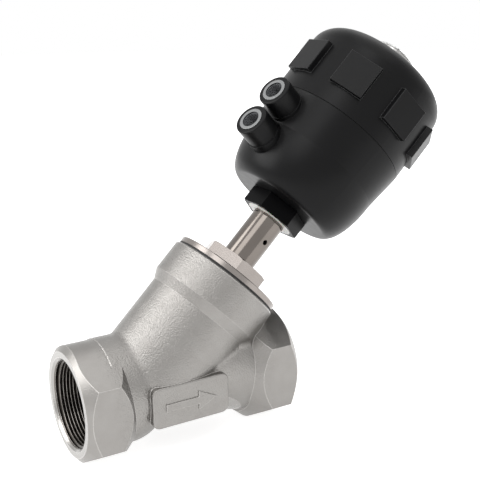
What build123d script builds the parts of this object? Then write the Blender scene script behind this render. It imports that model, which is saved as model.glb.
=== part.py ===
from build123d import *
import os
from math import cos, radians, sin, sqrt, tan

# Pneumatic angle seat valve: a cast stainless body with two threaded hexagon ends, a bonnet with
# its stem packing, and a plastic piston actuator that a pair of springs closes.
# Millimetres. +X runs along the pipe from inlet to outlet, +Z is up and -Y is the front. The origin
# is where the pipe's axis meets the stem's axis. A station is a distance along the stem from there.

os.makedirs("parts", exist_ok=True)

# Axes and the planes that the sketches lie on
stem_lean = 44.5
stem_direction = Vector(cos(radians(stem_lean)), 0, sin(radians(stem_lean)))
front_direction = Vector(0, -1, 0)
outlet_side_direction = stem_direction.cross(front_direction)
stem_axis = Axis((0, 0, 0), stem_direction)
stem_side = Plane(
    origin=(0, 0, 0),
    x_dir=front_direction,
    z_dir=(-sin(radians(stem_lean)), 0, cos(radians(stem_lean))),
)
pipe_side = Plane.XZ


def across_stem(station):
    """The plane across the stem at a station; angles in it start at the front."""
    return Plane(origin=stem_direction * station, x_dir=front_direction, z_dir=stem_direction)


def out_from_stem(station, angle, reach=0):
    """The plane that faces straight out from the stem at an angle, reach away from its axis."""
    outward = front_direction * cos(radians(angle)) + outlet_side_direction * sin(radians(angle))
    return Plane(
        origin=stem_direction * station + outward * reach,
        x_dir=stem_direction,
        z_dir=outward,
    )


# Valve body: pipe ends
inlet_reach = 50
outlet_reach = 102
thread_crest_radius = 28.328
thread_depth = 24
mouth_radius = 30.5
end_ring_radius = 34.4
hexagon_across_flats = 74.9
hexagon_length = 22
hexagon_corner_round = 32
hexagon_crown = 0.6
outer_cone_angle = 40
inner_cone_angle = 50
cone_foot_radius = 32.6
passage_radius = 27
casting_wall = 5.5

# Valve body: where the passages climb to the seat and down from it
inlet_barrel_radius = 35.6
inlet_barrel_lift = 3
inlet_dome_centre = -15
inlet_dome_length = 33
outlet_bend_reach = 81
outlet_lean = 13.5
outlet_barrel_radius = 33.5
outlet_barrel_length = 63.5
outlet_passage_length = 22.5

# Valve body: branch, collar and seat
branch_radius = 36.7
branch_bottom_centre = 10.5
branch_bottom_depth = 20
branch_top = 62
shoulder_height = 7
collar_radius = 40
collar_top = 91
collar_bore_radius = 33
collar_bore_depth = 17
collar_edge = 0.8
collar_facing_radius = 41
cavity_radius = 31
seat_radius = 22.5
seat_land_radius = 27
seat_station = 22
seat_lip_height = 3
seat_chamber_centre = 10
seat_chamber_depth = 14
crotch_round = 6

# Valve body: the raised plates on both sides
plate_left = -8
plate_right = 46
plate_bottom = -13.5
plate_top = 14
plate_reach = 37.8
plate_root = 20
plate_corner_round = 5
plate_edge_round = 1

# Bonnet, its gasket and the neck
gasket_radius = 38
gasket_bore_radius = 33.2
gasket_thickness = 1.5
flange_radius = 38.4
flange_thickness = 3.8
flange_edge = 0.5
spigot_clearance = 0.1
spigot_depth = 16.5
spigot_bore_radius = 26
spigot_bore_depth = 10
bonnet_hexagon_across_flats = 42.1
bonnet_hexagon_height = 10
bonnet_hexagon_angle = -27
bonnet_hexagon_edge = 0.9
neck_seat_depth = 2.5
neck_radius = 11.75
neck_bore_radius = 8.6
neck_fit = 0.02
telltale_radius = 1.8
telltale_station = 125.8
telltale_angle = 6.6
neck_head_radius = 15
neck_head_height = 3

# Stem and its packing
stem_radius = 6
stem_clearance = 0.15
packing_clearance = 0.05
packing_bottom_height = 4
v_ring_count = 4
v_ring_height = 2.6
v_ring_depth = 1.6
v_ring_gap = 0.4
packing_washer_height = 2
packing_spring_height = 19
packing_spring_wire = 1.5
packing_spring_turns = 5
wiper_height = 3.5
wiper_lip = 1.2

# Plug and seat disc
plug_rim_radius = 29.5
plug_rim_wall = 1.8
plug_rim_drop = 2.5
plug_plate_thickness = 5
plug_hub_radius = 10
plug_hub_height = 7
seat_disc_thickness = 4
seat_closed_gap = 0.1
stud_radius = 5
stud_clearance = 0.05
disc_washer_radius = 20.5
disc_washer_thickness = 2.5
disc_nut_across_flats = 16
disc_nut_height = 6
stud_end = 1.5

# Actuator nut
nut_bottom = 142
nut_height = 11.8
nut_corner_radius = 22
nut_edge = 1.2
nut_ring_radius = 17.2
nut_ring_thickness = 2

# Actuator housing, the lower half
housing_bottom = 154
housing_floor_thickness = 6
housing_bottom_flat_radius = 35.5
housing_corner_height = 35.5
housing_corner_radius = 49
parting_station = 216
parting_gap = 0.3
actuator_radius = 52
swivel_clearance = 0.25
cylinder_radius = 42.5
cylinder_floor_radius = 30
cylinder_corner_height = 30
joint_neck_radius = 48.5
joint_neck_height = 12
housing_o_ring_wire = 2
housing_o_ring_drop = 6

# Air sleeves and their inserts
port_angle = -80
lower_port_station = 177.5
upper_port_station = 202
sleeve_radius = 11.1
sleeve_reach = 66.5
sleeve_edge = 0.9
sleeve_foot_radius = 11.7
sleeve_foot_reach = 51.5
insert_radius = 8
insert_depth = 13
insert_proud = 0.3
port_thread_radius = 5.72
air_hole_radius = 3.2
air_channel_radius = 1.7
air_channel_reach = 45.5

# Actuator cap, the upper half
crown_height = 280
crown_thickness = 7
cap_corner_drop = 19
cap_corner_round = 14
cap_wall = 8
cap_socket_clearance = 0.1
cap_eye_radius = 9
cap_boss_radius = 18
pad_count = 7
pad_start_angle = -92
pad_pitch_angle = 45
pad_width = 24
pad_rise = 13.2
pad_height = 24.5
pad_reach = 55
pad_root = 14
pad_edge = 0.5

# Piston and springs
piston_bottom = 165
piston_hub_radius = 13
piston_hub_height = 13
piston_floor_station = 171
piston_floor_thickness = 5
piston_wall_outer_radius = 34.5
piston_wall_thickness = 4
piston_flange_bottom = 184
piston_flange_thickness = 10
piston_running_gap = 0.3
piston_seal_height = 3
piston_seal_depth = 3.2
piston_seal_drop = 5.5
piston_guide_height = 2.5
piston_guide_depth = 1.8
piston_guide_drop = 1.2
piston_washer_radius = 12
piston_washer_thickness = 2
piston_nut_across_flats = 16
piston_nut_height = 8
outer_spring_radius = 26.5
outer_spring_wire = 5
outer_spring_turns = 6.5
inner_spring_radius = 16.8
inner_spring_wire = 3.6
inner_spring_turns = 8.5
spring_plate_radius = 31.5
spring_plate_thickness = 3
spring_plate_bore_radius = 8.5

# Position indicator on top of the cap
indicator_rod_radius = 4.5
indicator_rod_drop = 13
indicator_stud_radius = 2.5
indicator_stud_depth = 8
indicator_ring_radius = 16.8
indicator_ring_height = 6.5
indicator_bore_radius = 6.5
indicator_shank_depth = 6
indicator_window_radius = 15.6
indicator_window_wall = 2
indicator_window_rise = 5.8
indicator_window_side = 2
indicator_socket_depth = 1.5
indicator_o_ring_radius = 14
indicator_o_ring_wire = 1.8

# Stations and radii that follow from the sizes above
cavity_floor = seat_station - seat_lip_height
gasket_top = collar_top + gasket_thickness
flange_top = gasket_top + flange_thickness
bonnet_top = flange_top + bonnet_hexagon_height
spigot_bottom = gasket_top - spigot_depth
spigot_bore_top = spigot_bottom + spigot_bore_depth
neck_seat = gasket_top - neck_seat_depth
stem_bore_radius = stem_radius + stem_clearance
packing_radius = neck_bore_radius - packing_clearance
v_rings_bottom = neck_seat + packing_bottom_height
packing_washer_bottom = v_rings_bottom + v_ring_count * (v_ring_height + v_ring_gap)
packing_spring_bottom = packing_washer_bottom + packing_washer_height
packing_spring_top = packing_spring_bottom + packing_spring_height
housing_floor = housing_bottom + housing_floor_thickness
neck_head_bottom = housing_floor + swivel_clearance
neck_top = neck_head_bottom + neck_head_height
wiper_bottom = neck_top - wiper_height
seat_disc_bottom = seat_station + seat_closed_gap
seat_disc_top = seat_disc_bottom + seat_disc_thickness
plug_top = seat_disc_top + plug_plate_thickness + plug_hub_height
disc_washer_bottom = seat_disc_bottom - disc_washer_thickness
disc_nut_bottom = disc_washer_bottom - disc_nut_height
stem_bottom = disc_nut_bottom - stud_end
piston_floor_top = piston_floor_station + piston_floor_thickness
piston_hub_top = piston_bottom + piston_hub_height
piston_washer_top = piston_hub_top + piston_washer_thickness
piston_nut_top = piston_washer_top + piston_nut_height
stem_top = piston_nut_top + stud_end
piston_flange_top = piston_flange_bottom + piston_flange_thickness
piston_flange_radius = cylinder_radius - piston_running_gap
joint_neck_top = parting_station + joint_neck_height
housing_o_ring_radius = joint_neck_radius + cap_socket_clearance - housing_o_ring_wire / 2
cap_bottom = parting_station + parting_gap
cap_socket_top = joint_neck_top + parting_gap
cap_bore_radius = actuator_radius - cap_wall
cap_corner_centre = crown_height - cap_corner_drop
cap_ceiling = crown_height - crown_thickness
pad_bottom = cap_bottom + pad_rise
spring_plate_bottom = cap_ceiling - spring_plate_thickness
indicator_rod_top = crown_height - indicator_rod_drop
indicator_ring_top = crown_height + indicator_ring_height
indicator_window_top = indicator_ring_top + indicator_window_rise


def pipe_end(face, inward):
    """One hexagon end: a turned blank from its face inwards, then cut to the hexagon."""
    corner_radius = hexagon_across_flats / sqrt(3)
    blank_radius = corner_radius + hexagon_crown
    outer_slope = tan(radians(outer_cone_angle))
    inner_slope = tan(radians(inner_cone_angle))
    outer_corner = face + inward * outer_slope * (blank_radius - end_ring_radius)
    inner_corner = face + inward * (hexagon_length - inner_slope * hexagon_crown)
    inner_foot = face + inward * (hexagon_length + inner_slope * (corner_radius - cone_foot_radius))
    with BuildPart() as end:
        with BuildSketch(pipe_side):
            with BuildLine():
                Polyline(
                    (face, 0),
                    (face, end_ring_radius),
                    (outer_corner, blank_radius),
                    (inner_corner, blank_radius),
                    (inner_foot, cone_foot_radius),
                    (inner_foot, 0),
                    close=True,
                )
            make_face()
        revolve(axis=Axis.X)
        with BuildSketch(Plane(origin=(face, 0, 0), x_dir=(0, 1, 0), z_dir=(inward, 0, 0))) as flats:
            RegularPolygon(corner_radius, 6, rotation=30)
            corners = flats.vertices().sort_by(Axis.Y)
            fillet([corners[0], corners[-1]], hexagon_corner_round)
        extrude(amount=abs(inner_foot - face), mode=Mode.INTERSECT)
    return end.part


inlet_barrel = Plane(origin=(0, 0, inlet_barrel_lift), x_dir=(1, 0, 0), z_dir=(0, -1, 0))
inlet_barrel_axis = Axis((0, 0, inlet_barrel_lift), (1, 0, 0))
outlet_axis_direction = Vector(-cos(radians(outlet_lean)), 0, sin(radians(outlet_lean)))
outlet_barrel = Plane(origin=(outlet_bend_reach, 0, 0), x_dir=outlet_axis_direction, z_dir=(0, -1, 0))
outlet_axis = Axis((outlet_bend_reach, 0, 0), outlet_axis_direction)

# The valve body is one casting, with its bores machined
with BuildPart() as valve_body:
    # Inlet barrel, which closes below the seat in a long dome
    with BuildSketch(inlet_barrel):
        with BuildLine():
            dome = EllipticalCenterArc(
                (inlet_dome_centre, 0), inlet_dome_length, inlet_barrel_radius, start_angle=0, arc_size=90
            )
            inlet_barrel_root = -inlet_reach + hexagon_length
            Polyline(dome @ 1, (inlet_barrel_root, inlet_barrel_radius))
            Polyline((inlet_barrel_root, inlet_barrel_radius), (inlet_barrel_root, 0), dome @ 0)
        make_face()
    revolve(axis=inlet_barrel_axis)
    # Outlet barrel, which climbs towards the branch
    with BuildSketch(outlet_barrel):
        with BuildLine():
            dome = CenterArc((outlet_barrel_length, 0), outlet_barrel_radius, 0, 90)
            Polyline(dome @ 1, (0, outlet_barrel_radius))
            Polyline((0, outlet_barrel_radius), (0, 0), dome @ 0)
        make_face()
    revolve(axis=outlet_axis)
    # Branch, shoulder and collar about the stem
    with BuildSketch(stem_side):
        with BuildLine():
            dome = EllipticalCenterArc(
                (0, branch_bottom_centre), branch_radius, branch_bottom_depth, start_angle=-90, arc_size=90
            )
            Polyline(
                dome @ 1,
                (branch_radius, branch_top),
                (collar_radius, branch_top + shoulder_height),
                (collar_radius, collar_top - collar_edge),
                (collar_radius - collar_edge, collar_top),
                (0, collar_top),
                dome @ 0,
            )
        make_face()
    revolve(axis=stem_axis)
    # Soft creases where the branch and the barrels meet
    creases = valve_body.edges().filter_by(
        lambda edge: edge.geom_type in (GeomType.BSPLINE, GeomType.ELLIPSE)
    )
    fillet(creases, crotch_round)
    # Hexagon ends
    add(pipe_end(-inlet_reach, 1))
    add(pipe_end(outlet_reach, -1))
    # Plates on the front and the back
    for side in (1, -1):
        with BuildSketch(Plane(origin=(0, -side * plate_root, 0), x_dir=(1, 0, 0), z_dir=(0, -side, 0))):
            with Locations(((plate_left + plate_right) / 2, side * (plate_bottom + plate_top) / 2)):
                RectangleRounded(plate_right - plate_left, plate_top - plate_bottom, plate_corner_round)
        extrude(amount=plate_reach - plate_root)
        plate_rim = valve_body.faces().sort_by(Axis.Y)[0 if side == 1 else -1].edges()
        fillet(plate_rim, plate_edge_round)

    # Threaded ends with their mouth chamfers
    with BuildSketch(pipe_side):
        with BuildLine():
            inlet_thread_end = -inlet_reach + thread_depth
            Polyline(
                (-inlet_reach, 0),
                (-inlet_reach, mouth_radius),
                (-inlet_reach + mouth_radius - thread_crest_radius, thread_crest_radius),
                (inlet_thread_end, thread_crest_radius),
                (inlet_thread_end, 0),
                close=True,
            )
        make_face()
        with BuildLine():
            outlet_thread_end = outlet_reach - thread_depth
            Polyline(
                (outlet_reach, 0),
                (outlet_reach, mouth_radius),
                (outlet_reach - mouth_radius + thread_crest_radius, thread_crest_radius),
                (outlet_thread_end, thread_crest_radius),
                (outlet_thread_end, 0),
                close=True,
            )
        make_face()
    revolve(axis=Axis.X, mode=Mode.SUBTRACT)
    # Inlet passage up to the seat
    with BuildSketch(pipe_side):
        with BuildLine():
            dome = EllipticalCenterArc(
                (inlet_dome_centre, 0),
                inlet_dome_length - casting_wall,
                passage_radius,
                start_angle=0,
                arc_size=90,
            )
            Polyline(dome @ 1, (inlet_thread_end, passage_radius))
            Polyline((inlet_thread_end, passage_radius), (inlet_thread_end, 0), dome @ 0)
        make_face()
    revolve(axis=Axis.X, mode=Mode.SUBTRACT)
    # Outlet passage down from the branch
    with BuildSketch(pipe_side):
        with BuildLine():
            Polyline(
                (outlet_thread_end, 0),
                (outlet_thread_end, passage_radius),
                (outlet_bend_reach - casting_wall, passage_radius),
                (outlet_bend_reach - casting_wall, 0),
                close=True,
            )
        make_face()
    revolve(axis=Axis.X, mode=Mode.SUBTRACT)
    with BuildSketch(outlet_barrel):
        with BuildLine():
            dome = CenterArc((outlet_passage_length, 0), passage_radius, 0, 90)
            Polyline(dome @ 1, (0, passage_radius))
            Polyline((0, passage_radius), (0, 0), dome @ 0)
        make_face()
    revolve(axis=outlet_axis, mode=Mode.SUBTRACT)
    # Seat chamber, seat, cavity over it and the collar's bore
    with BuildSketch(stem_side):
        with BuildLine():
            dome = EllipticalCenterArc(
                (0, seat_chamber_centre), seat_radius, seat_chamber_depth, start_angle=-90, arc_size=90
            )
            Polyline(
                dome @ 1,
                (seat_radius, seat_station),
                (seat_land_radius, seat_station),
                (seat_land_radius, cavity_floor),
                (cavity_radius, cavity_floor),
                (cavity_radius, collar_top - collar_bore_depth),
                (collar_bore_radius, collar_top - collar_bore_depth),
                (collar_bore_radius, collar_top),
                (collar_facing_radius, collar_top),
                (collar_facing_radius, bonnet_top),
                (0, bonnet_top),
                dome @ 0,
            )
        make_face()
    revolve(axis=stem_axis, mode=Mode.SUBTRACT)
valve_body.part.label = "valve_body"
export_step(valve_body.part, "parts/valve_body.step")

# Gasket in the gap between collar and bonnet
with BuildPart() as bonnet_gasket:
    with BuildSketch(across_stem(collar_top)):
        Circle(gasket_radius)
        Circle(gasket_bore_radius, mode=Mode.SUBTRACT)
    extrude(amount=gasket_thickness)
bonnet_gasket.part.label = "bonnet_gasket"
export_step(bonnet_gasket.part, "parts/bonnet_gasket.step")

# Bonnet: a turned flange with a threaded spigot below and a hexagon above
with BuildPart() as bonnet:
    with BuildSketch(across_stem(flange_top)):
        RegularPolygon(bonnet_hexagon_across_flats / 2, 6, major_radius=False, rotation=bonnet_hexagon_angle)
    extrude(amount=bonnet_hexagon_height)
    with BuildSketch(stem_side):
        with BuildLine():
            corner_radius = bonnet_hexagon_across_flats / sqrt(3)
            Polyline(
                (0, flange_top),
                (corner_radius, flange_top),
                (corner_radius, bonnet_top - bonnet_hexagon_edge),
                (corner_radius - 2 * bonnet_hexagon_edge, bonnet_top),
                (0, bonnet_top),
                close=True,
            )
        make_face()
    revolve(axis=stem_axis, mode=Mode.INTERSECT)
    with BuildSketch(stem_side):
        with BuildLine():
            Polyline(
                (0, spigot_bottom),
                (collar_bore_radius - spigot_clearance, spigot_bottom),
                (collar_bore_radius - spigot_clearance, gasket_top),
                (flange_radius, gasket_top),
                (flange_radius, flange_top - flange_edge),
                (flange_radius - flange_edge, flange_top),
                (0, flange_top),
                close=True,
            )
        make_face()
    revolve(axis=stem_axis)
    with BuildSketch(stem_side):
        with BuildLine():
            Polyline(
                (0, spigot_bottom),
                (spigot_bore_radius, spigot_bottom),
                (spigot_bore_radius, spigot_bore_top),
                (stem_bore_radius, spigot_bore_top),
                (stem_bore_radius, neck_seat),
                (neck_radius + neck_fit, neck_seat),
                (neck_radius + neck_fit, bonnet_top),
                (0, bonnet_top),
                close=True,
            )
        make_face()
    revolve(axis=stem_axis, mode=Mode.SUBTRACT)
bonnet.part.label = "bonnet"
export_step(bonnet.part, "parts/bonnet.step")

# Neck tube, with a head that holds the housing and a tell-tale hole that shows a leak
with BuildPart() as neck_tube:
    with BuildSketch(stem_side):
        with BuildLine():
            Polyline(
                (neck_bore_radius, neck_seat),
                (neck_radius, neck_seat),
                (neck_radius, neck_head_bottom),
                (neck_head_radius, neck_head_bottom),
                (neck_head_radius, neck_top),
                (neck_bore_radius, neck_top),
                close=True,
            )
        make_face()
    revolve(axis=stem_axis)
    with BuildSketch(out_from_stem(telltale_station, telltale_angle)):
        Circle(telltale_radius)
    extrude(amount=neck_head_radius, mode=Mode.SUBTRACT)
neck_tube.part.label = "neck_tube"
export_step(neck_tube.part, "parts/neck_tube.step")

# Packing: a bottom ring, the V rings, a washer, a spring and the guide bush above them
with BuildPart() as packing_bottom_ring:
    with BuildSketch(stem_side):
        with BuildLine():
            middle_radius = (packing_radius + stem_bore_radius) / 2
            Polyline(
                (stem_bore_radius, neck_seat),
                (packing_radius, neck_seat),
                (packing_radius, v_rings_bottom - v_ring_depth),
                (middle_radius, v_rings_bottom),
                (stem_bore_radius, v_rings_bottom - v_ring_depth),
                close=True,
            )
        make_face()
    revolve(axis=stem_axis)
packing_bottom_ring.part.label = "packing_bottom_ring"
export_step(packing_bottom_ring.part, "parts/packing_bottom_ring.step")

with BuildPart() as packing_v_rings:
    for ring in range(v_ring_count):
        ring_bottom = v_rings_bottom - v_ring_depth + v_ring_gap / 2 + ring * (v_ring_height + v_ring_gap)
        with BuildSketch(stem_side):
            with BuildLine():
                Polyline(
                    (stem_bore_radius, ring_bottom),
                    (middle_radius, ring_bottom + v_ring_depth),
                    (packing_radius, ring_bottom),
                    (packing_radius, ring_bottom + v_ring_height),
                    (middle_radius, ring_bottom + v_ring_height + v_ring_depth),
                    (stem_bore_radius, ring_bottom + v_ring_height),
                    close=True,
                )
            make_face()
        revolve(axis=stem_axis)
packing_v_rings.part.label = "packing_v_rings"
export_step(packing_v_rings.part, "parts/packing_v_rings.step")

with BuildPart() as packing_washer:
    with BuildSketch(across_stem(packing_washer_bottom)):
        Circle(packing_radius)
        Circle(stem_bore_radius, mode=Mode.SUBTRACT)
    extrude(amount=packing_washer_height)
packing_washer.part.label = "packing_washer"
export_step(packing_washer.part, "parts/packing_washer.step")


def coil_spring(bottom, top, mean_radius, wire, turns):
    """A coil spring about the stem with its ends ground flat at two stations."""
    overrun = wire / 4
    height = top - bottom + 2 * overrun
    with BuildPart() as spring:
        with BuildLine() as path:
            foot = stem_direction * (bottom - overrun)
            Helix(height / turns, height, mean_radius, center=foot, direction=stem_direction)
        start = path.line @ 0
        with BuildSketch(Plane(origin=start, z_dir=path.line % 0)):
            Circle(wire / 2)
        sweep(path=path.line, is_frenet=True)
        split(bisect_by=across_stem(bottom), keep=Keep.TOP)
        split(bisect_by=across_stem(top), keep=Keep.BOTTOM)
    return spring


packing_spring = coil_spring(
    packing_spring_bottom,
    packing_spring_top,
    (packing_radius + stem_bore_radius) / 2,
    packing_spring_wire,
    packing_spring_turns,
)
packing_spring.part.label = "packing_spring"
export_step(packing_spring.part, "parts/packing_spring.step")

with BuildPart() as guide_bush:
    with BuildSketch(across_stem(packing_spring_top)):
        Circle(packing_radius)
        Circle(stem_bore_radius, mode=Mode.SUBTRACT)
    extrude(amount=wiper_bottom - packing_spring_top)
guide_bush.part.label = "guide_bush"
export_step(guide_bush.part, "parts/guide_bush.step")

with BuildPart() as wiper:
    with BuildSketch(stem_side):
        with BuildLine():
            Polyline(
                (stem_bore_radius, wiper_bottom),
                (packing_radius, wiper_bottom),
                (packing_radius, neck_top - wiper_lip),
                (stem_bore_radius + wiper_lip / 2, neck_top),
                (stem_bore_radius, neck_top),
                close=True,
            )
        make_face()
    revolve(axis=stem_axis)
wiper.part.label = "wiper"
export_step(wiper.part, "parts/wiper.step")

# Stem, with a stud for the plug below and one for the piston above
with BuildPart() as stem:
    with BuildSketch(stem_side):
        with BuildLine():
            Polyline(
                (0, stem_bottom),
                (stud_radius, stem_bottom),
                (stud_radius, plug_top),
                (stem_radius, plug_top),
                (stem_radius, piston_bottom),
                (stud_radius, piston_bottom),
                (stud_radius, stem_top),
                (indicator_stud_radius + stud_clearance, stem_top),
                (indicator_stud_radius + stud_clearance, stem_top - indicator_stud_depth),
                (0, stem_top - indicator_stud_depth),
                close=True,
            )
        make_face()
    revolve(axis=stem_axis)
stem.part.label = "stem"
export_step(stem.part, "parts/stem.step")

# Plug, a cup that holds the seat disc, with a washer and a nut below it
stud_hole_radius = stud_radius + stud_clearance
with BuildPart() as plug:
    with BuildSketch(stem_side):
        with BuildLine():
            plate_top_station = seat_disc_top + plug_plate_thickness
            rim_bore_radius = plug_rim_radius - plug_rim_wall
            Polyline(
                (stud_hole_radius, seat_disc_top),
                (rim_bore_radius, seat_disc_top),
                (rim_bore_radius, seat_disc_top - plug_rim_drop),
                (plug_rim_radius, seat_disc_top - plug_rim_drop),
                (plug_rim_radius, plate_top_station - plug_rim_wall),
                (plug_rim_radius - plug_rim_wall, plate_top_station),
                (plug_hub_radius + plug_rim_wall, plate_top_station),
                (plug_hub_radius, plate_top_station + plug_rim_wall),
                (plug_hub_radius, plug_top),
                (stud_hole_radius, plug_top),
                close=True,
            )
        make_face()
    revolve(axis=stem_axis)
plug.part.label = "plug"
export_step(plug.part, "parts/plug.step")

with BuildPart() as seat_disc:
    with BuildSketch(across_stem(seat_disc_bottom)):
        Circle(rim_bore_radius - stud_clearance)
        Circle(stud_hole_radius, mode=Mode.SUBTRACT)
    extrude(amount=seat_disc_thickness)
seat_disc.part.label = "seat_disc"
export_step(seat_disc.part, "parts/seat_disc.step")

with BuildPart() as disc_washer:
    with BuildSketch(across_stem(disc_washer_bottom)):
        Circle(disc_washer_radius)
        Circle(stud_hole_radius, mode=Mode.SUBTRACT)
    extrude(amount=disc_washer_thickness)
disc_washer.part.label = "disc_washer"
export_step(disc_washer.part, "parts/disc_washer.step")

with BuildPart() as disc_nut:
    with BuildSketch(across_stem(disc_nut_bottom)):
        RegularPolygon(disc_nut_across_flats / 2, 6, major_radius=False)
        Circle(stud_hole_radius, mode=Mode.SUBTRACT)
    extrude(amount=disc_nut_height)
disc_nut.part.label = "disc_nut"
export_step(disc_nut.part, "parts/disc_nut.step")

# Nut under the actuator, with the white ring in its underside
nut_top = nut_bottom + nut_height
with BuildPart() as actuator_nut:
    with BuildSketch(across_stem(nut_bottom)):
        RegularPolygon(nut_corner_radius, 6)
    extrude(amount=nut_height)
    with BuildSketch(stem_side):
        with BuildLine():
            Polyline(
                (0, nut_bottom),
                (nut_corner_radius - nut_edge, nut_bottom),
                (nut_corner_radius, nut_bottom + nut_edge / 2),
                (nut_corner_radius, nut_top),
                (0, nut_top),
                close=True,
            )
        make_face()
    revolve(axis=stem_axis, mode=Mode.INTERSECT)
    with BuildSketch(across_stem(nut_bottom)):
        Circle(neck_radius + neck_fit)
    extrude(amount=nut_height, mode=Mode.SUBTRACT)
    with BuildSketch(across_stem(nut_bottom)):
        Circle(nut_ring_radius)
    extrude(amount=nut_ring_thickness, mode=Mode.SUBTRACT)
actuator_nut.part.label = "actuator_nut"
export_step(actuator_nut.part, "parts/actuator_nut.step")

with BuildPart() as nut_ring:
    with BuildSketch(across_stem(nut_bottom)):
        Circle(nut_ring_radius)
        Circle(neck_radius + neck_fit, mode=Mode.SUBTRACT)
    extrude(amount=nut_ring_thickness)
nut_ring.part.label = "nut_ring"
export_step(nut_ring.part, "parts/nut_ring.step")

# Housing: the lower half of the actuator, with two air sleeves
with BuildPart() as actuator_housing:
    with BuildSketch(stem_side):
        with BuildLine():
            corner = EllipticalCenterArc(
                (housing_bottom_flat_radius, housing_bottom + housing_corner_height),
                housing_corner_radius - housing_bottom_flat_radius,
                housing_corner_height,
                start_angle=-90,
                arc_size=90,
            )
            Polyline(
                corner @ 1,
                (actuator_radius, parting_station),
                (joint_neck_radius, parting_station),
                (joint_neck_radius, joint_neck_top),
                (0, joint_neck_top),
                (0, housing_bottom),
                corner @ 0,
            )
        make_face()
    revolve(axis=stem_axis)
    for station in (lower_port_station, upper_port_station):
        with BuildSketch(out_from_stem(station, port_angle, cylinder_radius)):
            Circle(sleeve_radius)
        extrude(amount=sleeve_reach - cylinder_radius)
        with BuildSketch(out_from_stem(station, port_angle, cylinder_radius)):
            Circle(sleeve_foot_radius)
        extrude(amount=sleeve_foot_reach - cylinder_radius)
    sleeve_lips = actuator_housing.edges().filter_by(GeomType.CIRCLE)
    sleeve_lips = sleeve_lips.filter_by(lambda edge: abs(edge.radius - sleeve_radius) < 0.01)
    sleeve_lips = sleeve_lips.group_by(lambda edge: edge.center().dot(out_from_stem(0, port_angle).z_dir))[-1]
    fillet(sleeve_lips, sleeve_edge)
    # The cylinder that the piston runs in, and the hole for the neck
    with BuildSketch(stem_side):
        with BuildLine():
            corner = EllipticalCenterArc(
                (cylinder_floor_radius, housing_floor + cylinder_corner_height),
                cylinder_radius - cylinder_floor_radius,
                cylinder_corner_height,
                start_angle=-90,
                arc_size=90,
            )
            Polyline(
                corner @ 1,
                (cylinder_radius, joint_neck_top),
                (0, joint_neck_top),
                (0, housing_bottom),
                (neck_radius + swivel_clearance, housing_bottom),
                (neck_radius + swivel_clearance, housing_floor),
                corner @ 0,
            )
        make_face()
    revolve(axis=stem_axis, mode=Mode.SUBTRACT)
    # Sockets for the inserts and the air holes behind them
    for station in (lower_port_station, upper_port_station):
        with BuildSketch(out_from_stem(station, port_angle, sleeve_reach - insert_depth)):
            Circle(insert_radius)
        extrude(amount=insert_depth, mode=Mode.SUBTRACT)
    with BuildSketch(out_from_stem(lower_port_station, port_angle, piston_wall_outer_radius)):
        Circle(air_hole_radius)
    extrude(amount=sleeve_reach - piston_wall_outer_radius, mode=Mode.SUBTRACT)
    with BuildSketch(out_from_stem(upper_port_station, port_angle, air_channel_reach)):
        Circle(air_hole_radius - air_channel_radius)
    extrude(amount=sleeve_reach - air_channel_reach, mode=Mode.SUBTRACT)
    # The upper port's channel runs up the wall and opens above the piston
    channel_foot = out_from_stem(upper_port_station, port_angle, air_channel_reach)
    with BuildSketch(Plane(origin=channel_foot.origin, x_dir=front_direction, z_dir=stem_direction)):
        Circle(air_channel_radius)
    extrude(amount=joint_neck_top - upper_port_station, mode=Mode.SUBTRACT)
    # Groove for the ring that seals the joint with the cap
    with BuildSketch(stem_side):
        with Locations((housing_o_ring_radius, joint_neck_top - housing_o_ring_drop)):
            Rectangle(housing_o_ring_wire + 2 * cap_socket_clearance, housing_o_ring_wire + 2 * parting_gap)
    revolve(axis=stem_axis, mode=Mode.SUBTRACT)
actuator_housing.part.label = "actuator_housing"
export_step(actuator_housing.part, "parts/actuator_housing.step")

with BuildPart() as housing_o_ring:
    with BuildSketch(stem_side):
        with Locations((housing_o_ring_radius, joint_neck_top - housing_o_ring_drop)):
            RectangleRounded(housing_o_ring_wire, housing_o_ring_wire, housing_o_ring_wire / 3)
    revolve(axis=stem_axis)
housing_o_ring.part.label = "housing_o_ring"
export_step(housing_o_ring.part, "parts/housing_o_ring.step")

# Threaded inserts in the two air sleeves
for name, station in (("port_insert_lower", lower_port_station), ("port_insert_upper", upper_port_station)):
    with BuildPart() as port_insert:
        with BuildSketch(out_from_stem(station, port_angle, sleeve_reach - insert_depth)):
            Circle(insert_radius)
            Circle(port_thread_radius, mode=Mode.SUBTRACT)
        extrude(amount=insert_depth + insert_proud)
    port_insert.part.label = name
    export_step(port_insert.part, f"parts/{name}.step")

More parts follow.
